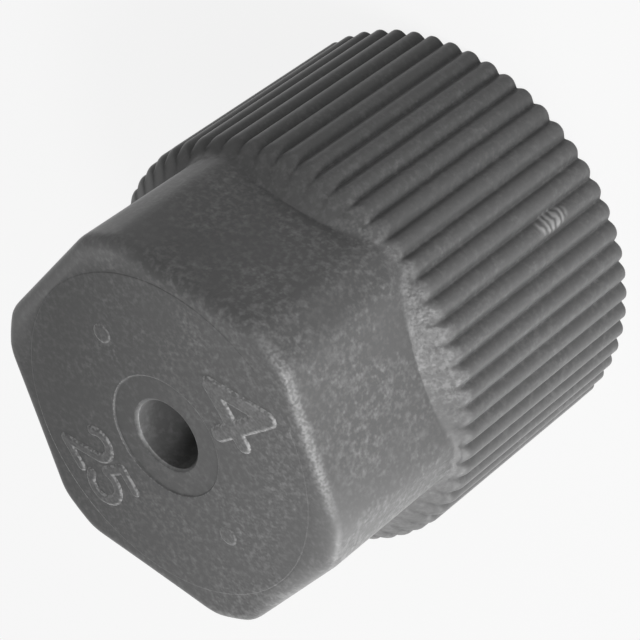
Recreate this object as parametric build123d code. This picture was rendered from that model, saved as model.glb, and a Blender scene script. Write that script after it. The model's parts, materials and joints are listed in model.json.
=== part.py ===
from build123d import *
from math import cos, radians, sin, tan
import os

# Threaded protection cap, moulded in one piece, in millimetres.
# The cap stands on its open rim with the hexagon head up: z = 0 is the rim, and the z axis is the thread axis.

# Socket for the threaded port
thread_major_d = 16.0      # M16 x 1.5, wall at the root of the thread
thread_length = 10.0       # rim to the end of the threaded wall
entry_chamfer = 0.8        # lead-in at the rim
nose_step = 1.5            # how far the wall steps in, on a 45 degree cone, for the port's nose
nose_length = 3.0          # cone and nose bore together
floor_radius = 0.5         # round at the bottom of the socket

# Ridged barrel
barrel_wall = 1.77         # thread root to the floor of a groove, at the rim
barrel_draft = 0.58        # degrees that the barrel narrows towards the head, to leave its mould
barrel_height = 11.4       # rim to the edge where the shoulder starts
shoulder_angle = 38.0      # slope of the shoulder above the horizontal
ridge_count = 60
ridge_height = 0.28        # groove floor to crest
ridge_crown = 0.09         # rise of the rounded crest above its two edges
groove_width = 0.36        # V groove, across its mouth
ridge_phase = 1.5          # degrees between a crest and the middle of a flat

# Hexagon head
across_flats = 17.0
corner_cut = 0.44          # each corner is turned off by this much at the shoulder
corner_draft = 1.0         # degrees that the turned corners narrow towards the end face
corner_round = 0.6         # soft vertical edges beside the turned corners
head_round = 0.55          # soft edge round the end face

# End face
end_web = 2.0              # plastic left between the socket and the centre hole
core_hole_d = 3.3          # blind hole in the middle of the head
core_hole_depth = 4.5
core_hole_bevel = 0.12
dish_d = 5.8               # shallow turned dish round the hole
dish_depth = 0.08
plate_d = 15.4             # round land that carries the marking
plate_height = 0.06

# Worked out from the sizes above
thread_r = thread_major_d / 2
nose_r = thread_r - nose_step
socket_depth = thread_length + nose_length
total_height = socket_depth + end_web + core_hole_depth
crest_r = thread_r + barrel_wall + ridge_height
narrowing = tan(radians(barrel_draft))
shoulder_crest_r = crest_r - barrel_height * narrowing
shoulder_slope = tan(radians(shoulder_angle))
shoulder_inner_r = across_flats / 2 - head_round
shoulder_top = barrel_height + (shoulder_crest_r - shoulder_inner_r) * shoulder_slope
head_base = barrel_height - ridge_height
head_top = total_height - plate_height
corner_r = across_flats / 2 / cos(radians(30)) - corner_cut


def polar(radius, degrees):
    """A point in the plane of the rim."""
    return Vector(radius * cos(radians(degrees)), radius * sin(radians(degrees)))


def ridged_outline(height):
    """Section of the barrel at a height: rounded crests with a V groove between each two."""
    pitch = 360 / ridge_count
    top_r = crest_r - height * narrowing
    edge_r = top_r - ridge_crown
    half_crest = pitch / 2 - Vector(edge_r, groove_width / 2).get_angle(Vector(1, 0))
    edges = []
    for i in range(ridge_count):
        crest = ridge_phase + i * pitch
        start = polar(edge_r, crest - half_crest)
        end = polar(edge_r, crest + half_crest)
        groove = polar(top_r - ridge_height, crest + pitch / 2)
        next_start = polar(edge_r, crest + pitch - half_crest)
        edges.append(ThreePointArc(start, polar(top_r, crest), end))
        edges.append(Line(end, groove))
        edges.append(Line(groove, next_start))
    return Pos(0, 0, height) * make_face(edges)


def barrel():
    """Ridged barrel, cut at its top by the cone of the shoulder, so that the grooves run out on the slope."""
    ridges = loft([ridged_outline(0), ridged_outline(shoulder_top)], ruled=True)
    outside_r = crest_r + ridge_height
    outside_z = barrel_height - (outside_r - shoulder_crest_r) * shoulder_slope
    cone = make_face(Polyline(
        (0, 0, 0),
        (outside_r, 0, 0),
        (outside_r, 0, outside_z),
        (shoulder_inner_r, 0, shoulder_top),
        (0, 0, shoulder_top),
        close=True,
    ))
    return ridges & revolve(cone, Axis.Z)


def head_section(height):
    """Section of the head at a height: a hexagon whose corners were turned off on a slight cone."""
    turned_r = corner_r - (height - head_base) * tan(radians(corner_draft))
    flats = RegularPolygon(across_flats / 2, 6, major_radius=False, rotation=30)
    section = flats & Circle(turned_r)
    return Pos(0, 0, height) * fillet(section.vertices(), corner_round)


def head():
    """Hexagon with turned corners; it starts inside the barrel, so its flats run out on the shoulder."""
    body = loft([head_section(head_base), head_section(head_top)], ruled=True)
    return fillet(body.faces().sort_by(Axis.Z)[-1].edges(), head_round)


def plate():
    """Round land on the end face."""
    return Pos(0, 0, head_top) * extrude(Circle(plate_d / 2), amount=plate_height)


def socket():
    """Blind socket: lead-in, threaded wall, cone, nose bore and rounded floor."""
    section = make_face(Polyline(
        (0, 0, 0),
        (thread_r + entry_chamfer, 0, 0),
        (thread_r, 0, entry_chamfer),
        (thread_r, 0, thread_length),
        (nose_r, 0, thread_length + nose_step),
        (nose_r, 0, socket_depth),
        (0, 0, socket_depth),
        close=True,
    ))
    space = revolve(section, Axis.Z)
    floor = space.faces().sort_by(Axis.Z)[-1]
    return fillet(floor.edges(), floor_radius)


def core_hole():
    """Blind centre hole with a fine bevel, in a shallow dish."""
    dish_z = total_height - dish_depth
    hole_r = core_hole_d / 2
    section = make_face(Polyline(
        (0, 0, total_height - core_hole_depth),
        (hole_r, 0, total_height - core_hole_depth),
        (hole_r, 0, dish_z - core_hole_bevel),
        (hole_r + core_hole_bevel, 0, dish_z),
        (dish_d / 2, 0, dish_z),
        (dish_d / 2, 0, total_height),
        (0, 0, total_height),
        close=True,
    ))
    return revolve(section, Axis.Z)


def cap():
    """The whole cap as one moulding."""
    body = barrel() + head() + plate()
    return body - socket() - core_hole()


os.makedirs("parts", exist_ok=True)
export_step(cap(), "parts/cap.step")
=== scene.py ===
# %% [markdown]
# # A threaded protection cap
#
# This lesson dresses a small moulded cap that keeps dirt and moisture out of a threaded port. The real one
# is a single moulding in dark-grey plastic, 20 mm across: a ridged barrel for the fingers, a hexagon head
# for a spanner, and a blind threaded socket inside.
#
# A CAD model has already fixed every size. It is loaded here as a frame that nothing may move, and a finer
# skin with soft edges, a thread, raised marks and a worn moulded finish is built round it.

# %% Load the frame
import json
import math

import bpy
import numpy as np
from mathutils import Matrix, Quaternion, Vector


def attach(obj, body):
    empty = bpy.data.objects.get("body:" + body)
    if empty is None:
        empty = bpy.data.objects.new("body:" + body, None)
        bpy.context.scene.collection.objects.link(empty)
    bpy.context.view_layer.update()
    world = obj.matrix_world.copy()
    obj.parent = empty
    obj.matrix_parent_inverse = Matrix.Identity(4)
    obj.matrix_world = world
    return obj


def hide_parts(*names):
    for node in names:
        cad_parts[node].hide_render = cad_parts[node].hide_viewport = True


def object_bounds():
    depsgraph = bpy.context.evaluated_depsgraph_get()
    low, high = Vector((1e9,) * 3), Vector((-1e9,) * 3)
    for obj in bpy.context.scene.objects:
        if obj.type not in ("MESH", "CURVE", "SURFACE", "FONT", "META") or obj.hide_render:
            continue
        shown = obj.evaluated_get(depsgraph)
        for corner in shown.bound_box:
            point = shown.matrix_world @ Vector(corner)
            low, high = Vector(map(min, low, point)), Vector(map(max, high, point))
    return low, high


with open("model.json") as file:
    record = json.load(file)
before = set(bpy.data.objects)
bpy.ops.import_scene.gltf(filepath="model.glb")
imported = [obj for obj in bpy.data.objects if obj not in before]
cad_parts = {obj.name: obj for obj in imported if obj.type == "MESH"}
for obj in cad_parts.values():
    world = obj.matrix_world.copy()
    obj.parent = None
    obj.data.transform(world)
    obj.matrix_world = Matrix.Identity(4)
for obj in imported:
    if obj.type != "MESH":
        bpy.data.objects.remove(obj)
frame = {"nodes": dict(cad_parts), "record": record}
cad_low, cad_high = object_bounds()
print("CAD box, mm:", [round(v * 1000, 2) for v in (*cad_low, *cad_high)])

# %% [markdown]
# ## Sizes
#
# Blender works in metres, but a moulded part is easier to think about in millimetres. So every shape below
# is worked out in millimetres, and one function turns it to metres when the mesh is made.
#
# The three sizes that matter most are read from the frame: how far the ridges reach, how tall the cap is,
# and the radius of the threaded wall. The rest are the driving sizes of the moulding.

# %% Sizes that come from the frame
MM = 0.001

cad_mesh = frame["nodes"]["cap"].data
cad_points = np.array([v.co for v in cad_mesh.vertices]) / MM
crest_r = np.hypot(cad_points[:, 0], cad_points[:, 1]).max()
total_height = cad_points[:, 2].max()

mounts = {mount["name"]: mount for mount in frame["record"]["mounts"]}
thread_r = mounts["thread"]["dims"]["r_mm"]
print(f"ridges reach {crest_r:.2f} mm, height {total_height:.2f} mm, thread wall {thread_r:.2f} mm")

# %% Driving sizes of the moulding
# The grip barrel, its sloping shoulder and its ridges
barrel_height = 11.4
barrel_draft = 0.58
shoulder_angle = 38.0
ridge_count = 60
ridge_height = 0.28
ridge_crown = 0.09
groove_width = 0.38
ridge_phase = 1.5

# The hexagon head, with its corners turned off to a round
across_flats = 17.0
corner_r = 9.375
corner_draft = 1.0

# The socket, from the open rim inwards
entry_chamfer = 0.8
thread_length = 10.0
nose_step = 1.5
socket_depth = 13.0

# The end face: a blind hole in a shallow dish, on a round land
hole_r = 1.65
hole_depth = 4.5
hole_bevel = 0.12
dish_r = 2.9
dish_depth = 0.08
dish_edge = 0.03
land_r = 7.7
land_height = 0.02
land_edge = 0.015

print(f"wall under the grooves: {crest_r - ridge_height - thread_r:.2f} mm")

# %% [markdown]
# ## The outlines
#
# Looked at from above, the head is a hexagon whose corners were turned off on a lathe, and the barrel is a
# circle with sixty soft ridges. They could be drawn point by point, but both can also be written as one
# rule: how far out the surface is at each azimuth. A rule stays right when a size changes.
#
# A mould is never dead sharp, so the rules are joined with a soft minimum. It works like `min`, but where
# the two values come close it rounds the change from one to the other.

# %% A soft minimum
def soft_min(a, b, blend):
    """The smaller of two values, rounded where they differ by less than blend."""
    near = np.maximum(blend - np.abs(a - b), 0) / blend
    return np.minimum(a, b) - near**2 * blend / 4


print("soft minimum of 1.0 and 1.0, blended over 0.2:", soft_min(1.0, 1.0, 0.2))


# %% The hexagon as a rule of azimuth
corner_blend = 0.20


def hexagon_radius(azimuth, turned_r):
    """Distance from the axis to the side of the head, in millimetres."""
    from_flat = (azimuth + 30) % 60 - 30
    flat = across_flats / 2 / np.cos(np.radians(from_flat))
    return soft_min(flat, turned_r, corner_blend)


flat_and_corner = hexagon_radius(np.array([0, 30]), corner_r)
print("head, mm from the axis at a flat and a corner:", flat_and_corner.round(2))


# %% The ridges as a rule of azimuth
pitch = 360 / ridge_count
# Softness of the bottom of a groove, and of the edge where a crest turns into it
groove_root = 0.02
ridge_blend = 0.10


def barrel_radius(azimuth, outer_r):
    """Distance from the axis to the ridged side of the barrel, in millimetres."""
    from_crest = (azimuth - ridge_phase + pitch / 2) % pitch - pitch / 2
    across = outer_r * np.radians(np.abs(from_crest))
    half_pitch = outer_r * np.radians(pitch / 2)
    half_crest = half_pitch - groove_width / 2
    crest = outer_r - ridge_crown * (across / half_crest) ** 2
    groove_slope = (ridge_height - ridge_crown) / (groove_width / 2)
    from_root = np.hypot(half_pitch - across, groove_root) - groove_root
    groove = outer_r - ridge_height + from_root * groove_slope
    return soft_min(crest, groove, ridge_blend)


crest_and_groove = barrel_radius(np.array([ridge_phase, ridge_phase + pitch / 2]), crest_r)
print("barrel, mm from the axis at a crest and a groove:", crest_and_groove.round(2))

# %% [markdown]
# ## Columns of the skin
#
# The skin is like a turned shape whose section changes as it goes round: each column of points stands at
# one azimuth. The columns are close together in the grooves, where the surface turns quickly, and wider
# apart on the crests. That spends the points where the eye can see them.
#
# A mould has to let go of the part, so the barrel and the corners of the head lean in a little. The lean,
# or draft, makes the radius at the top of each wall smaller than at its foot.

# %% Azimuths of the columns
# Places of the columns as shares of one ridge, from the middle of a groove up to its crest
groove_to_crest = np.array([0, 0.05, 0.10, 0.15, 0.20, 0.28, 0.38])
one_ridge = np.concatenate([groove_to_crest, [0.5], 1 - groove_to_crest[:0:-1]])
first_groove = ridge_phase - pitch / 2
azimuths = (first_groove + pitch * (np.arange(ridge_count)[:, None] + one_ridge)).ravel()
every_column = np.ones(len(azimuths))
print(len(azimuths), "columns,", len(one_ridge), "to a ridge")

# %% Radii of the walls in every column
corner_taper = math.tan(math.radians(corner_draft)) * (total_height - barrel_height)
barrel_taper = math.tan(math.radians(barrel_draft)) * barrel_height
head_foot = hexagon_radius(azimuths, corner_r)
head_side = hexagon_radius(azimuths, corner_r - corner_taper)
shoulder_r = crest_r - barrel_taper
shoulder_side = barrel_radius(azimuths, shoulder_r)
rim_side = barrel_radius(azimuths, crest_r)
print(f"draft takes {barrel_taper:.2f} mm off the barrel and {corner_taper:.2f} mm off the corners")

# %% [markdown]
# ## The section
#
# Each column follows the section of the cap: from the bottom of the blind hole, up its wall, across the end
# face, down the hexagon, out over the sloping shoulder, down the ridges, round the rim and up into the
# socket.
#
# The section is written as corners. A corner has a reach, which is how far before and after it the surface
# starts to bend. The two corners of the shoulder are different in each column, because the slope meets a
# flat lower down than it meets a turned corner, and a groove further in than a crest. Giving each column
# its own corners puts the crease exactly where the two surfaces meet, with no stepped edge.

# %% Heights of the section
face_z = total_height - land_height
dish_z = total_height - dish_depth
hole_floor_z = total_height - hole_depth
nose_r = thread_r - nose_step
print(f"end face {face_z:.2f} mm up, dish {dish_z:.2f} mm, floor of the hole {hole_floor_z:.2f} mm")

# %% The shoulder in every column
slope = math.tan(math.radians(shoulder_angle))
crease_z = barrel_height + (shoulder_r - head_foot) * slope
shoulder_z = barrel_height + (shoulder_r - shoulder_side) * slope
print("the crease runs between", crease_z.min().round(2), "and", crease_z.max().round(2), "mm up")

# %% [markdown]
# The edge of the shoulder is softly rounded. The crease is crisp where a flat meets the slope and wider
# under a turned corner. Neither bend may take up more than its share of the slope between them, which is
# short under a corner.

# %% How far the bends reach at the shoulder and at the crease
shoulder_bend = 0.32
shoulder_share = 0.44
crease_bend = 0.03
crease_widening = 0.40
crease_share = 0.40

shoulder_length = np.hypot(shoulder_side - head_foot, crease_z - shoulder_z)
shoulder_reach = np.minimum(shoulder_bend, shoulder_share * shoulder_length)
past_flat = head_foot - across_flats / 2
crease_reach = np.minimum(crease_bend + crease_widening * past_flat, crease_share * shoulder_length)
print("the crease bends within", crease_reach.min().round(2), "to", crease_reach.max().round(2), "mm")

# %% [markdown]
# Four things about the surface are noted along the section, for the finish to use later.
#
# The first is how pale the edges are. Along one flat of the head's edge, and as a thin line on the far side
# of the round land, the paleness is a painted highlight; the edges of the hole and the dish are a little
# pale all round, partly as wear and partly as painted glint. The second is how strong the grain is: weak on
# the ridges, in the dish and on most of the slope, but strongest on the patch of the slope where the
# highlight falls. The third is where a pale grey lies evenly: in the hole, where it is painted fill light,
# on two corners of the head, where it is dust, and on the same patch of the slope, where it is a painted
# highlight. The fourth is how deep a point lies in a groove, which the finish uses for painted shade and a
# rougher surface there.

# %% Where the painted highlights, the wear and the grain are
def fading_arc(middle, half_width):
    """1 along an arc of azimuths and 0 beyond it, with soft ends; all in degrees."""
    away = np.abs((azimuths - middle + 180) % 360 - 180)
    soft_end = 0.4 * half_width
    return np.clip((half_width - away) / soft_end, 0, 1)


# Painted highlights: the head's edge along one flat, and a thin line on the land's edge
painted_edge_highlight = 0.45 * fading_arc(188, 30)
painted_land_highlight = 0.9 * fading_arc(17, 26)
dusty_edge = 0.8 * fading_arc(137, 35) + 0.6 * fading_arc(295, 44)
# Painted highlight: the patch of the slope where the key lamp's glint falls gets stronger grain and an even
# pale grey
highlight_patch = fading_arc(193, 33)
slope_grain = 0.5 + 0.9 * highlight_patch
painted_slope_highlight = 0.35 * highlight_patch
print("rubbed edge in", np.count_nonzero(painted_edge_highlight), "columns, land in", np.count_nonzero(painted_land_highlight))

# %% Corners of the section
# Radius, height, reach, points on the bend, share of edge wear and painted glint, grain of the stretch that
# follows
corners = [
    (hole_r, hole_floor_z, 0.15, 3, 0, 1.0),
    (hole_r, dish_z - hole_bevel, 0.03, 3, 0.5, 1.0),
    (hole_r + hole_bevel, dish_z, 0.03, 3, 0.15, 0.6),
    (dish_r - dish_edge, dish_z, dish_edge, 3, 0, 1.0),
    (dish_r + dish_edge, total_height, dish_edge, 3, 0.35, 1.0),
    (land_r - land_edge, total_height, land_edge, 3, painted_land_highlight, 1.0),
    (land_r + land_edge, face_z, land_edge, 3, painted_land_highlight, 1.0),
    (head_side, face_z, 0.60, 9, painted_edge_highlight, 1.0),
    (head_foot, crease_z, crease_reach, 5, 0, slope_grain),
    (shoulder_side, shoulder_z, shoulder_reach, 6, 0, 0.4),
    (rim_side, 0, 0.12, 5, 0, 1.0),
    (thread_r + entry_chamfer, 0, 0.05, 3, 0, 1.0),
    (thread_r, entry_chamfer, 0.05, 3, 0, 1.0),
    (thread_r, thread_length, 0.05, 3, 0, 1.0),
    (nose_r, thread_length + nose_step, 0.05, 3, 0, 1.0),
    (nose_r, socket_depth, 0.50, 5, 0, 1.0),
]
print(len(corners), "corners")

# %% [markdown]
# ## Bending the corners
#
# A bend is a short curve that leaves one straight stretch and joins the next, both smoothly. A bevel
# modifier could make it, but it works edge by edge and would stumble where sixty grooves run out on a
# slope. A curve with three control points does it in every column at once: where the bend starts, the
# corner itself, and where the bend ends.
#
# One more point just outside each end of the bend holds the flat stretch flat. Without it, the smooth
# shading of the bend would leak across the whole flat, which is a common fault in Blender.

# %% One soft corner
# How far outside a bend its holding points stand, as a share of the reach
hold_share = 0.15


def bent(before, corner, after, reach, count):
    """Points of one bend in every column, with a holding point at each end."""
    to_start = before - corner
    to_end = after - corner
    to_start /= np.linalg.norm(to_start, axis=1, keepdims=True)
    to_end /= np.linalg.norm(to_end, axis=1, keepdims=True)
    reach = np.broadcast_to(reach, len(corner))[:, None]
    start = corner + to_start * reach
    end = corner + to_end * reach
    shares = np.linspace(0, 1, count)
    curve = [(1 - s) ** 2 * start + 2 * s * (1 - s) * corner + s**2 * end for s in shares]
    hold = hold_share * reach
    return [start + to_start * hold, *curve, end + to_end * hold]


def column_points(radius, height):
    """One corner in every column, as radius and height."""
    return np.stack([radius * every_column, height * every_column], axis=1)


three_points = [column_points(*point) for point in ((1, 0), (1, 1), (0, 1))]
print("a bend of 5 points becomes", len(bent(*three_points, 0.1, 5)), "rows")

# %% All rows of the section, and what the finish needs to know at each
stations = [column_points(radius, height) for radius, height, *_ in corners]
stations = [column_points(0, hole_floor_z), *stations, column_points(0, socket_depth)]
groove_share = (crest_r - rim_side) / ridge_height
rows = []
amounts = {"worn_edge": [], "in_groove": [], "dust_and_painted_light": [], "grain": []}
grain_before = 1.0
for i, (radius, height, reach, count, worn, grain_after) in enumerate(corners, start=1):
    bend = bent(stations[i - 1], stations[i], stations[i + 1], reach, count)
    on_barrel = radius is shoulder_side or radius is rim_side
    # The hole gets an even pale grey as painted fill light, and two corners of the head get dust
    dust_and_painted_light = every_column * (radius is hole_r) + dusty_edge * (radius is head_side)
    for share in np.linspace(0, 1, len(bend)):
        amounts["worn_edge"].append(worn * math.sin(share * math.pi) ** 3 * every_column)
        amounts["in_groove"].append(groove_share * on_barrel)
        slope_share = share * (radius is head_foot) + (1 - share) * (radius is shoulder_side)
        amounts["dust_and_painted_light"].append(dust_and_painted_light + painted_slope_highlight * slope_share)
        amounts["grain"].append((grain_before + (grain_after - grain_before) * share) * every_column)
    rows += bend
    grain_before = grain_after
section = np.stack(rows)
print("section rows x columns:", section.shape[:2])

# %% [markdown]
# ## From points to a mesh
#
# A grid of points becomes a mesh by joining each point to its neighbours. Two fans of triangles close the
# grid, one on the floor of the hole and one on the floor of the socket.
#
# Numbers can be stored at the points of a mesh as named attributes. A material reads them by name, so the
# wear and the grain follow the shape wherever it goes.

# %% Make a piece from points in millimetres
def make_piece(name, points, faces, **amounts):
    """A smooth-shaded mesh object that rides on the cap, with named amounts stored at its points."""
    mesh = bpy.data.meshes.new(name)
    mesh.from_pydata((np.asarray(points) * MM).tolist(), [], faces)
    mesh.polygons.foreach_set("use_smooth", [True] * len(mesh.polygons))
    for amount, values in amounts.items():
        stored = mesh.attributes.new(amount, "FLOAT", "POINT")
        stored.data.foreach_set("value", np.asarray(values, dtype=float))
    mesh.update()
    piece = bpy.data.objects.new(name, mesh)
    bpy.context.scene.collection.objects.link(piece)
    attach(piece, "root")
    return piece


def grid_faces(row_count, column_count, closed):
    """Quads of a grid stored row by row; a closed grid joins its last column to its first."""
    last = column_count if closed else column_count - 1
    row, column = np.meshgrid(np.arange(row_count - 1), np.arange(last))
    row, column = row.ravel(), column.ravel()
    after = (column + 1) % column_count
    this_row, next_row = row * column_count, (row + 1) * column_count
    quads = [this_row + column, next_row + column, next_row + after, this_row + after]
    return np.stack(quads, axis=1).tolist()


print("a closed grid of 2 rows by 3 columns:", grid_faces(2, 3, closed=True))

# %% The skin of the cap
row_count, column_count = section.shape[:2]
turn = np.radians(azimuths)
skin_points = np.stack([
    section[:, :, 0] * np.cos(turn),
    section[:, :, 0] * np.sin(turn),
    section[:, :, 1],
], axis=2).reshape(-1, 3)
hole_centre = len(skin_points)
socket_centre = hole_centre + 1
skin_points = np.vstack([skin_points, (0, 0, hole_floor_z), (0, 0, socket_depth)])
last_row = (row_count - 1) * column_count
skin_faces = grid_faces(row_count, column_count, closed=True)
for i in range(column_count):
    after = (i + 1) % column_count
    skin_faces.append([hole_centre, i, after])
    skin_faces.append([socket_centre, last_row + after, last_row + i])
at_points = {
    amount: [*np.concatenate(values), values[0][0], values[-1][0]]
    for amount, values in amounts.items()
}

cap_skin = make_piece("cap_skin", skin_points, skin_faces, **at_points)
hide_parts("cap")
print("skin:", len(cap_skin.data.polygons), "faces")

# %% [markdown]
# ## The thread
#
# The socket has a metric thread with a 1.5 mm pitch. Its ridge winds up the wall: a trapezium with sides at
# 60 degrees to each other and a flat on top. A metric thread that is cut inside a hole stands 0.54 of a
# pitch high, and its flat is a quarter of a pitch wide.
#
# A screw modifier could wind it, but then its ends would stop dead. Swept along a helix by a rule, both
# ends can sink into the wall over a third of a turn, as the core of a mould leaves them. The ridge stores
# no wear and no grain, and a material reads what is missing as 0, so it stays clean.

# %% The helix of the thread
thread_pitch = 1.5
thread_depth = 0.54 * thread_pitch
thread_start = 1.6
thread_end = 9.3
steps_per_turn = 72

turns = (thread_end - thread_start) / thread_pitch
along = np.linspace(0, turns, int(turns * steps_per_turn))
helix_angle = 2 * np.pi * along
helix_z = thread_start + along * thread_pitch
# Share of the ridge's full height, which it reaches over the first and last third of a turn
run_out = np.clip(np.minimum(along, turns - along) * 3, 0, 1)
print(f"{turns:.1f} turns, {len(along)} steps")

# %% The thread ridge, with its foot sunk into the wall
sunk = 0.02
flank_angle = 30
crest_half = thread_pitch / 8
flank_half = crest_half + (thread_depth + sunk) * math.tan(math.radians(flank_angle))
crest_depth = run_out * (thread_depth + 2 * sunk) - 2 * sunk
foot_depth = np.full_like(crest_depth, -sunk)
thread_section = [
    (-flank_half, foot_depth),
    (-crest_half, crest_depth),
    (crest_half, crest_depth),
    (flank_half, foot_depth),
]
thread_points = np.stack([
    np.stack([
        (thread_r - depth) * np.cos(helix_angle),
        (thread_r - depth) * np.sin(helix_angle),
        helix_z + lift,
    ], axis=1)
    for lift, depth in thread_section
])
thread_faces = grid_faces(len(thread_section), len(along), closed=False)
thread_ridge = make_piece("thread_ridge", thread_points.reshape(-1, 3), thread_faces)
# Its flanks are flat and its edges crisp, so its faces aren't shaded smooth
thread_ridge.data.polygons.foreach_set("use_smooth", [False] * len(thread_ridge.data.polygons))
print(f"thread: {len(thread_faces)} faces, minor radius {thread_r - crest_depth.max():.2f} mm")

# %% [markdown]
# ## Raised marks
#
# The end face carries plain numbers, as moulded parts often do for the cavity that made them. They are
# raised because a cutter with a round tip ran along each stroke in the mould. Text objects would give the
# shapes of a font. Here the height at a point depends only on how far it is from the middle of the nearest
# stroke: flat on top, a short slope, then nothing.
#
# That rule is drawn on a fine grid just over the face, and only the part of the grid that stands out is
# kept. Strokes that cross then melt into one shape, with round ends, and no joining of solids is needed.

# %% Strokes of the digits, for a digit one unit tall with its foot at zero
def arc(centre, radius, start, stop, count=14):
    """Points along an arc, in degrees."""
    angle = np.radians(np.linspace(start, stop, count))
    return [(centre[0] + radius * math.cos(a), centre[1] + radius * math.sin(a)) for a in angle]


digit_strokes = {
    "4": [[(0.20, 0.0), (0.20, 1.0), (-0.42, 0.32), (0.42, 0.32)]],
    "2": [[*arc((0, 0.73), 0.27, 165, -40), (-0.27, 0), (0.28, 0)]],
    "5": [[(0.24, 1), (-0.20, 1), (-0.24, 0.56), *arc((-0.02, 0.32), 0.31, 120, -150)]],
}
print("strokes in each digit:", {digit: len(strokes) for digit, strokes in digit_strokes.items()})

# %% Place strokes on the end face
text_up = math.radians(-164)
text_right = text_up - math.radians(90)
up = np.array([math.cos(text_up), math.sin(text_up)])
right = np.array([math.cos(text_right), math.sin(text_right)])


def placed(digit, size, centre):
    """Strokes of a digit scaled to a size in millimetres and turned to read across the face."""
    strokes = [np.array(stroke) for stroke in digit_strokes[digit]]
    return [
        centre + np.outer(stroke[:, 0], right) * size + np.outer(stroke[:, 1] - 0.5, up) * size
        for stroke in strokes
    ]


print("a digit reads along", right.round(2), "with its head towards", up.round(2))


# %% Distance to a stroke
def stroke_distance(spots, strokes):
    """Distance from each spot to the middle of the nearest stroke."""
    distance = np.full(len(spots), np.inf)
    for stroke in strokes:
        for a, b in zip(stroke[:-1], stroke[1:]):
            leg = b - a
            share = np.clip((spots - a) @ leg / max(leg @ leg, 1e-9), 0, 1)
            distance = np.minimum(distance, np.linalg.norm(spots - a - share[:, None] * leg, axis=1))
    return distance


one_leg = [np.array([(0, 0), (1, 0)])]
print("from (2, 0) to a stroke that ends at (1, 0):", stroke_distance(np.array([(2, 0)]), one_leg)[0])

# %% Relief made by a round-tipped cutter
mark_slope = 0.18
grid_step = 0.05
least_height = 0.001


def raised_marks(name, strokes, stroke_width, height, glinting):
    """A piece that stands out of the land of the end face along the strokes, with slopes painted pale as
    wear and glint.
    """
    margin = stroke_width / 2 + mark_slope
    every = np.vstack(strokes)
    low, high = every.min(axis=0) - margin, every.max(axis=0) + margin
    across = np.arange(low[0], high[0] + grid_step, grid_step)
    along = np.arange(low[1], high[1] + grid_step, grid_step)
    spots = np.stack(np.meshgrid(across, along), axis=2).reshape(-1, 2)
    # 0 on the flat top, 1 beyond the slope
    fall = np.clip((stroke_distance(spots, strokes) - stroke_width / 2) / mark_slope + 0.5, 0, 1)
    lift = height * (1 - fall**2 * (3 - 2 * fall)) - sunk
    points = np.column_stack([spots, total_height + lift])
    faces = grid_faces(len(along), len(across), closed=False)
    faces = [face for face in faces if max(lift[i] for i in face) > least_height - sunk]
    used = sorted({i for face in faces for i in face})
    renumber = {old: new for new, old in enumerate(used)}
    # Wear and painted glint are full in the middle of the slope and fade to nothing at its foot
    worn = glinting * np.clip(1.7 - np.abs(fall[used] - 0.45) * 3.4, 0, 1)
    faces = [[renumber[i] for i in reversed(face)] for face in faces]
    return make_piece(name, points[used], faces, worn_edge=worn, grain=np.ones(len(used)))


print(f"marks slope over {mark_slope} mm, drawn in steps of {grid_step} mm")


# %% The numbers
large_strokes = placed("4", 3.4, np.array([-4.9, -1.6]))
large_number = raised_marks("large_number", large_strokes, stroke_width=0.72, height=0.12, glinting=0.75)

small_middle = np.array([4.97, 1.89])
half_step = 0.95
small_strokes = [
    *placed("2", 2.6, small_middle - half_step * right),
    *placed("5", 2.6, small_middle + half_step * right),
]
small_number = raised_marks("small_number", small_strokes, stroke_width=0.45, height=0.10, glinting=0.55)
print("numbers:", [(mark.name, len(mark.data.polygons)) for mark in (large_number, small_number)])

# %% Two round pips, one on each side of the hole
pip_places = [np.array([1.64, -4.79]), np.array([-1.77, 4.61])]
pips = [
    raised_marks(f"pip_{i}", [np.array([place, place])], stroke_width=0.90, height=0.06, glinting=0.35)
    for i, place in enumerate(pip_places, start=1)
]
print("pips:", [(pip.name, len(pip.data.polygons)) for pip in pips])

# %% [markdown]
# ## Colours and nodes
#
# Blender's shaders want linear light, while colours are usually picked as sRGB hex values. One function
# turns one into the other, and one function adds a node with its settings and its links. A third turns an
# azimuth and an elevation into a direction, for the handled side, the lamps and the camera.

# %% Colour and node helpers
def linear(hex_colour):
    """A shader colour from an sRGB hex value."""
    channels = [int(hex_colour[i:i + 2], 16) / 255 for i in (1, 3, 5)]
    return (*[c / 12.92 if c <= 0.04045 else ((c + 0.055) / 1.055) ** 2.4 for c in channels], 1)


def add_node(tree, kind, settings=None, inputs=None):
    """A new shader node; an input may be a number, a colour or another node's output."""
    node = tree.nodes.new(kind)
    for name, value in (settings or {}).items():
        setattr(node, name, value)
    for name, value in (inputs or {}).items():
        if isinstance(value, bpy.types.NodeSocket):
            tree.links.new(value, node.inputs[name])
        else:
            node.inputs[name].default_value = value
    return node


def direction(azimuth, elevation):
    """Unit vector from the cap towards an azimuth and an elevation in degrees."""
    a, e = math.radians(azimuth), math.radians(elevation)
    return Vector((math.cos(a) * math.cos(e), math.sin(a) * math.cos(e), math.sin(e)))


print("mid grey #808080 as linear light:", round(linear("#808080")[0], 3))

# %% [markdown]
# ## Spark-eroded polyamide
#
# The cap is polyamide 6, coloured dark grey with carbon black. The mould was cut by spark erosion, which
# leaves tiny craters, and the plastic copies them. The eye sees a dry dark grey with no clear reflection,
# and a paler, speckled grey where the tops of the grain are rubbed and dusty. Towards the side that the
# lamps face, the grey is painted paler still, as painted light.
#
# A picture of such a surface could be wrapped round the cap, but it would stretch over the ridges and show
# its seams. Noise that is worked out from the place in space does neither, so the whole finish is made of
# it.

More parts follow.
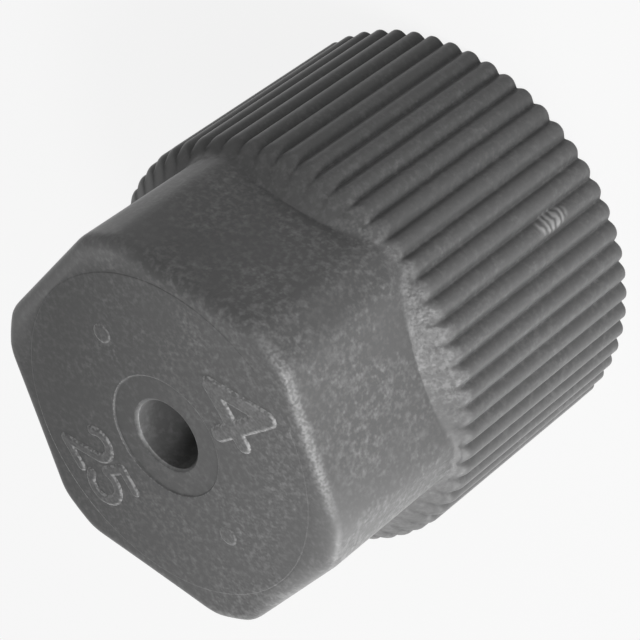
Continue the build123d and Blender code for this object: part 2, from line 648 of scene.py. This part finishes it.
# %% Start the material, and measure places in millimetres
polyamide = bpy.data.materials.new("spark_eroded_polyamide")
polyamide.use_nodes = True
tree = polyamide.node_tree
tree.nodes.clear()
place = add_node(tree, "ShaderNodeTexCoord")
in_mm = add_node(tree, "ShaderNodeVectorMath", {"operation": "SCALE"}, {
    0: place.outputs["Object"], "Scale": 1 / MM})
spot = in_mm.outputs["Vector"]
print("material:", polyamide.name)

# %% [markdown]
# Spark erosion of this kind leaves craters 0.03 to 0.1 mm across. That is too fine to show in the render,
# so it is drawn about twice as coarse: pits of 0.13 mm for the relief, and mottling of 0.30 mm where several
# craters hold dust together. Pale specks sit about 0.2 mm apart, one to each cell of a Voronoi pattern.
# Fingers rub in patches of 2 to 3 mm, which a slow cloudy noise gives.

# %% Patterns of the grain
pit_size = 0.13
mottle_size = 0.30
speck_spacing = 0.20
patch_size = 2.4

pits = add_node(tree, "ShaderNodeTexNoise", {}, {"Vector": spot, "Scale": 1 / pit_size, "Detail": 0.0})
mottling = add_node(tree, "ShaderNodeTexNoise", {}, {
    "Vector": spot, "Scale": 1 / mottle_size, "Detail": 2.0, "Roughness": 0.6})
specks = add_node(tree, "ShaderNodeTexVoronoi", {}, {"Vector": spot, "Scale": 1 / speck_spacing})
patches = add_node(tree, "ShaderNodeTexNoise", {}, {
    "Vector": spot, "Scale": 1 / patch_size, "Detail": 3.0, "Roughness": 0.6})
noises = {"pits": pits, "mottling": mottling, "patches": patches}
print("scales:", {name: round(noise.inputs["Scale"].default_value, 2) for name, noise in noises.items()})

# %% [markdown]
# The grain shows mostly towards the side that the lamps face, and the paleness it brings there is painted
# light. How far a place lies towards that side gives a slow change from 0 to 1 across the cap. Multiplied
# with the cloudy patches and with the grain stored at the points, it says how much grain shows at each
# place. Where the stored grain is strongest, which is on the patch of the slope where the highlight falls,
# the patches hardly fade, so the grain there is even.

# %% Where the grain shows
# Painted light: the plastic is painted paler towards this azimuth, the side that the lamps face
lit_side_azimuth = 155
least_side = 0.2

towards_side = add_node(tree, "ShaderNodeVectorMath", {"operation": "DOT_PRODUCT"}, {
    0: spot, 1: direction(lit_side_azimuth, 0)})
side = add_node(tree, "ShaderNodeMapRange", {}, {
    "Value": towards_side.outputs["Value"], "From Min": -6.0, "From Max": 7.0})
side_share = add_node(tree, "ShaderNodeMath", {"operation": "MULTIPLY_ADD"}, {
    0: side.outputs["Result"], 1: 1 - least_side, 2: least_side})
stored_grain = add_node(tree, "ShaderNodeAttribute", {"attribute_name": "grain"})
least_patch = add_node(tree, "ShaderNodeMapRange", {}, {
    "Value": stored_grain.outputs["Fac"], "From Min": 1.0, "From Max": 1.4,
    "To Min": 0.30, "To Max": 0.75})
patchy = add_node(tree, "ShaderNodeMapRange", {}, {
    "Value": patches.outputs["Fac"], "From Min": 0.38, "From Max": 0.62,
    "To Min": least_patch.outputs["Result"]})
lit_side_patches = add_node(tree, "ShaderNodeMath", {"operation": "MULTIPLY"}, {
    0: side_share.outputs["Value"], 1: patchy.outputs["Result"]})
grain_here = add_node(tree, "ShaderNodeMath", {"operation": "MULTIPLY"}, {
    0: lit_side_patches.outputs["Value"], 1: stored_grain.outputs["Fac"]})
print("the grain shows most towards azimuth", lit_side_azimuth)

# %% [markdown]
# Three greys lie over each other. The clean plastic is the darkest. The second is a paler copy of the same
# plastic, painted towards the side that the lamps face as painted light, and weaker in the grooves, which is
# painted shade. The dust is paler. It lies in the mottling, and evenly where the stored amount says so: that
# is painted fill light in the hole, dust on two corners of the head and a painted highlight on the slope.
# The fourth and palest grey is bare plastic, for the specks, the worn edges, the painted glints and the
# scuff.

# %% Plastic, painted light and dust
plastic = "#3e3e3e"
lit_plastic = "#676767"
dust_and_light_grey = "#8c8c8c"
bare_and_glint = "#c0c0c0"
even_dust_and_light = 0.55

groove = add_node(tree, "ShaderNodeAttribute", {"attribute_name": "in_groove"})
# Painted shade: the paler grey falls to 0.6 of its share deep in the grooves
painted_groove_shade = add_node(tree, "ShaderNodeMapRange", {}, {
    "Value": groove.outputs["Fac"], "To Min": 1.0, "To Max": 0.6})
# Painted light: a paler copy of the plastic towards the side that the lamps face
lit_share_here = add_node(tree, "ShaderNodeMath", {"operation": "MULTIPLY"}, {
    0: side.outputs["Result"], 1: painted_groove_shade.outputs["Result"]})
lit_side_mixed = add_node(tree, "ShaderNodeMix", {"data_type": "RGBA"}, {
    "Factor": lit_share_here.outputs["Value"], "A": linear(plastic), "B": linear(lit_plastic)})
dusty_spots = add_node(tree, "ShaderNodeMapRange", {}, {
    "Value": mottling.outputs["Fac"], "From Min": 0.45, "From Max": 0.75})
dust_in_grain = add_node(tree, "ShaderNodeMath", {"operation": "MULTIPLY"}, {
    0: dusty_spots.outputs["Result"], 1: grain_here.outputs["Value"]})
# The stored amount is painted fill light in the hole, dust on two head corners and a painted highlight on
# the slope
stored_dust_and_light = add_node(tree, "ShaderNodeAttribute", {"attribute_name": "dust_and_painted_light"})
dust_and_light_here = add_node(tree, "ShaderNodeMath", {"operation": "MULTIPLY_ADD"}, {
    0: stored_dust_and_light.outputs["Fac"], 1: even_dust_and_light, 2: dust_in_grain.outputs["Value"]})
dust_and_light_mixed = add_node(tree, "ShaderNodeMix", {"data_type": "RGBA"}, {
    "Factor": dust_and_light_here.outputs["Value"], "A": lit_side_mixed.outputs["Result"], "B": linear(dust_and_light_grey)})
print("plastic, bloom, dust, bare:", plastic, lit_plastic, dust_and_light_grey, bare_and_glint)

# %% Pale specks, in some of the cells only
speck_shape = add_node(tree, "ShaderNodeMapRange", {}, {
    "Value": specks.outputs["Distance"], "From Min": 0.10, "From Max": 0.50,
    "To Min": 1.0, "To Max": 0.0})
speck_chosen = add_node(tree, "ShaderNodeMapRange", {}, {
    "Value": specks.outputs["Color"], "From Min": 0.45, "From Max": 0.80, "To Max": 0.25})
speck_strength = add_node(tree, "ShaderNodeMath", {"operation": "MULTIPLY"}, {
    0: speck_shape.outputs["Result"], 1: speck_chosen.outputs["Result"]})
speck_here = add_node(tree, "ShaderNodeMath", {"operation": "MULTIPLY"}, {
    0: speck_strength.outputs["Value"], 1: grain_here.outputs["Value"]})
speckled = add_node(tree, "ShaderNodeMix", {"data_type": "RGBA"}, {
    "Factor": speck_here.outputs["Value"], "A": dust_and_light_mixed.outputs["Result"], "B": linear(bare_and_glint)})
print("specks are mixed in by up to", speck_chosen.inputs["To Max"].default_value)

# %% [markdown]
# Where an edge was knocked, the pale inside of the plastic shows, and along some edges and the slopes of the
# marks the same pale grey is a painted glint. The share stored at the points says where, and the pits break
# it up, because a knock takes the tops of the grain first.

# %% Worn edges and painted glints
stored_glint_and_wear = add_node(tree, "ShaderNodeAttribute", {"attribute_name": "worn_edge"})
pit_tops = add_node(tree, "ShaderNodeMapRange", {}, {
    "Value": pits.outputs["Fac"], "From Min": 0.38, "From Max": 0.64, "To Min": 0.25})
glint_and_wear_here = add_node(tree, "ShaderNodeMath", {"operation": "MULTIPLY"}, {
    0: stored_glint_and_wear.outputs["Fac"], 1: pit_tops.outputs["Result"]})
# Painted glint and wear: the stored share mixes in the palest grey
worn = add_node(tree, "ShaderNodeMix", {"data_type": "RGBA"}, {
    "Factor": glint_and_wear_here.outputs["Value"], "A": speckled.outputs["Result"], "B": linear(bare_and_glint)})
# The pale head edge printed here is a painted highlight
print("wear on the rubbed edge, most:", round(float(painted_edge_highlight.max()), 2))

# %% [markdown]
# One ridge has a scuff, 1 mm wide and 2.3 mm long, where a tool slipped along it in short strokes. It is an
# egg-shaped area round one place, filled with the bands of a wave pattern that is bent a little so that the
# strokes curve.

# %% The scuff on one ridge
scuff_azimuth = 194.2
scuff_r = 9.93
scuff_z = 3.54
scuff_half_size = (0.50, 0.50, 1.15)
scuff_stroke = 0.38
scuff_place = (*(direction(scuff_azimuth, 0) * scuff_r).xy, scuff_z)

from_scuff = add_node(tree, "ShaderNodeVectorMath", {"operation": "SUBTRACT"}, {0: spot, 1: scuff_place})
in_scuff = add_node(tree, "ShaderNodeVectorMath", {"operation": "DIVIDE"}, {
    0: from_scuff.outputs["Vector"], 1: scuff_half_size})
from_middle = add_node(tree, "ShaderNodeVectorMath", {"operation": "LENGTH"}, {
    0: in_scuff.outputs["Vector"]})
scuff_area = add_node(tree, "ShaderNodeMapRange", {}, {
    "Value": from_middle.outputs["Value"], "From Min": 0.7, "From Max": 1.05,
    "To Min": 0.65, "To Max": 0.0})
# A wave texture of scale 1 repeats every 2 pi / 20 units
strokes = add_node(tree, "ShaderNodeTexWave", {"bands_direction": "Z"}, {
    "Vector": spot, "Scale": 2 * math.pi / 20 / scuff_stroke, "Distortion": 6.0, "Detail": 2.0,
    "Detail Scale": 1.6})
scuff_here = add_node(tree, "ShaderNodeMath", {"operation": "MULTIPLY"}, {
    0: scuff_area.outputs["Result"], 1: strokes.outputs["Fac"]})
scuffed = add_node(tree, "ShaderNodeMix", {"data_type": "RGBA"}, {
    "Factor": scuff_here.outputs["Value"], "A": worn.outputs["Result"], "B": linear(bare_and_glint)})
print("scuff at", [round(v, 2) for v in scuff_place], "mm")

# %% [markdown]
# Polyamide has an IOR of 1.53. Moulded against a polished mould it would have a roughness near 0.2. The
# grain raises that to 0.36 on the surfaces that are touched, and to 0.65 deep in the grooves, where nothing
# has burnished it. The same grain swallows part of the gloss, so the specular level is below the usual 0.5.
# The pits are 0.018 mm deep and come from a bump, because they are far too small to be seen as shapes.

# %% Relief, gloss and the finished shader
pit_depth = 0.018

pits_here = add_node(tree, "ShaderNodeMath", {"operation": "MULTIPLY"}, {
    0: pits.outputs["Fac"], 1: grain_here.outputs["Value"]})
pitted = add_node(tree, "ShaderNodeBump", {}, {
    "Height": pits_here.outputs["Value"], "Strength": 1.0, "Distance": pit_depth * MM})
haze = add_node(tree, "ShaderNodeMapRange", {}, {
    "Value": groove.outputs["Fac"], "To Min": 0.36, "To Max": 0.65})
surface = add_node(tree, "ShaderNodeBsdfPrincipled", {}, {
    "Base Color": scuffed.outputs["Result"], "Roughness": haze.outputs["Result"], "IOR": 1.53,
    "Specular IOR Level": 0.3, "Normal": pitted.outputs["Normal"]})
add_node(tree, "ShaderNodeOutputMaterial", {}, {"Surface": surface.outputs["BSDF"]})

pieces = [cap_skin, thread_ridge, large_number, small_number, *pips]
for piece in pieces:
    piece.data.materials.append(polyamide)
print(len(tree.nodes), "nodes dress", len(pieces), "pieces")

# %% [markdown]
# ## Table and surroundings
#
# The cap stands on a plain white table in a white room. If the room were bright enough to look white, its
# light would wash out every shadow on the cap. So the room is white only where it is looked at, directly,
# in a reflection or through glass, and a faint fill light for everything else.
#
# The table works in the same way: most of it is white paper colour with a glow that only a look can see,
# and the rest is real paper, which keeps the soft shadow where the cap stands.

# %% Tell a look from a lighting ray
def looked_at(tree):
    """Output of a node that is 1 for rays that look, and 0 for rays that gather light."""
    path = add_node(tree, "ShaderNodeLightPath")
    look = add_node(tree, "ShaderNodeMath", {"operation": "MAXIMUM"}, {
        0: path.outputs["Is Camera Ray"], 1: path.outputs["Is Glossy Ray"]})
    any_look = add_node(tree, "ShaderNodeMath", {"operation": "MAXIMUM"}, {
        0: look.outputs["Value"], 1: path.outputs["Is Transmission Ray"]})
    return any_look.outputs["Value"]


# %% White room
white = (1, 1, 1, 1)
fill_level = 0.11

room = bpy.data.worlds.new("white_room")
bpy.context.scene.world = room
room.use_nodes = True
room.node_tree.nodes.clear()
level = add_node(room.node_tree, "ShaderNodeMix", {"data_type": "FLOAT"}, {
    "Factor": looked_at(room.node_tree), "A": fill_level, "B": 1.0})
walls = add_node(room.node_tree, "ShaderNodeBackground", {}, {
    "Color": white, "Strength": level.outputs["Result"]})
add_node(room.node_tree, "ShaderNodeOutputWorld", {}, {"Surface": walls.outputs["Background"]})
print("the room looks white and gives", fill_level, "of its light")

# %% White paper for the table
paper_colour = "#e6e6e6"
glow_share = 0.87

white_paper = bpy.data.materials.new("white_paper")
white_paper.use_nodes = True
tree = white_paper.node_tree
tree.nodes.clear()
paper = add_node(tree, "ShaderNodeBsdfDiffuse", {}, {"Color": linear(paper_colour)})
glow = add_node(tree, "ShaderNodeEmission", {}, {"Color": white, "Strength": 1.0})
glowing_paper = add_node(tree, "ShaderNodeMixShader", {}, {
    "Fac": glow_share, 1: paper.outputs["BSDF"], 2: glow.outputs["Emission"]})
table_top = add_node(tree, "ShaderNodeMixShader", {}, {
    "Fac": looked_at(tree), 1: paper.outputs["BSDF"], 2: glowing_paper.outputs["Shader"]})
add_node(tree, "ShaderNodeOutputMaterial", {}, {"Surface": table_top.outputs["Shader"]})
print("paper glows by", glow_share, "where it is looked at")

# %% The table
table_half = 0.5
signs = ((-1, -1), (1, -1), (1, 1), (-1, 1))
table_corners = [(x * table_half, y * table_half, 0) for x, y in signs]
table_mesh = bpy.data.meshes.new("table")
table_mesh.from_pydata(table_corners, [], [(0, 1, 2, 3)])
table_mesh.materials.append(white_paper)
table = bpy.data.objects.new("table", table_mesh)
bpy.context.scene.collection.objects.link(table)
print("table:", table_half * 2, "m square")

# %% [markdown]
# ## Lamps
#
# Small products are lit with softboxes: big, soft lamps close to the object. Here a wide one stands low on
# the side that the plastic is painted paler towards, and draws the ridges. Two more stand in front, one low
# and one higher, and reach into the hole. A small key lamp from above puts the glint on the sloping
# shoulder.
#
# Each lamp is placed by its azimuth and elevation round the middle of the cap, a quarter of a metre away,
# and turned to face it. Their strength is set so that the plastic renders about as its hex value says.

# %% Lamps
middle = (cad_low + cad_high) / 2
lamp_distance = 0.25


def add_lamp(name, azimuth, elevation, width, watts):
    """A round soft lamp that faces the middle of the cap."""
    data = bpy.data.lights.new(name, "AREA")
    data.shape = "DISK"
    data.size = width
    data.energy = watts
    lamp = bpy.data.objects.new(name, data)
    towards = direction(azimuth, elevation)
    lamp.location = middle + towards * lamp_distance
    lamp.rotation_euler = towards.to_track_quat("Z", "Y").to_euler()
    bpy.context.scene.collection.objects.link(lamp)
    return lamp


# Azimuth and elevation in degrees, width in metres, watts
lamps = [
    add_lamp("wide_softbox", 112, 13, 0.20, 0.43),
    add_lamp("front_softbox", 172, 40, 0.14, 0.10),
    add_lamp("low_softbox", 163, 10, 0.12, 0.15),
    add_lamp("key_lamp", 158, 54, 0.06, 0.205),
]
print("watts in all:", round(sum(lamp.data.energy for lamp in lamps), 2))

# %% [markdown]
# ## Camera
#
# A long lens close to the cap keeps its sides nearly parallel, with just enough perspective to feel near.
# The camera looks down at 38 degrees and is rolled about its own axis, so that the cap seems to lie with
# its head to the lower left. Rolling the camera keeps the cap itself standing on its rim, where the CAD
# model has it.

# %% Camera
camera_azimuth = -151.98
camera_elevation = 38.41
camera_distance = 0.11281
camera_roll = 126.52
aim_shift = Vector((-0.214, -0.192, -0.352)) * MM

camera_data = bpy.data.cameras.new("camera")
camera_data.lens = 144.16
camera_data.sensor_width = 36
camera_data.clip_start = 0.005
camera = bpy.data.objects.new("camera", camera_data)
back = direction(camera_azimuth, camera_elevation)
roll = Quaternion((0, 0, 1), math.radians(-camera_roll))
camera.location = middle + aim_shift + back * camera_distance
camera.rotation_mode = "QUATERNION"
camera.rotation_quaternion = back.to_track_quat("Z", "Y") @ roll
bpy.context.scene.collection.objects.link(camera)
bpy.context.scene.camera = camera
bpy.context.scene.view_settings.view_transform = "Standard"
print(f"camera {camera_distance * 1000:.0f} mm away, lens {camera_data.lens:.0f} mm")
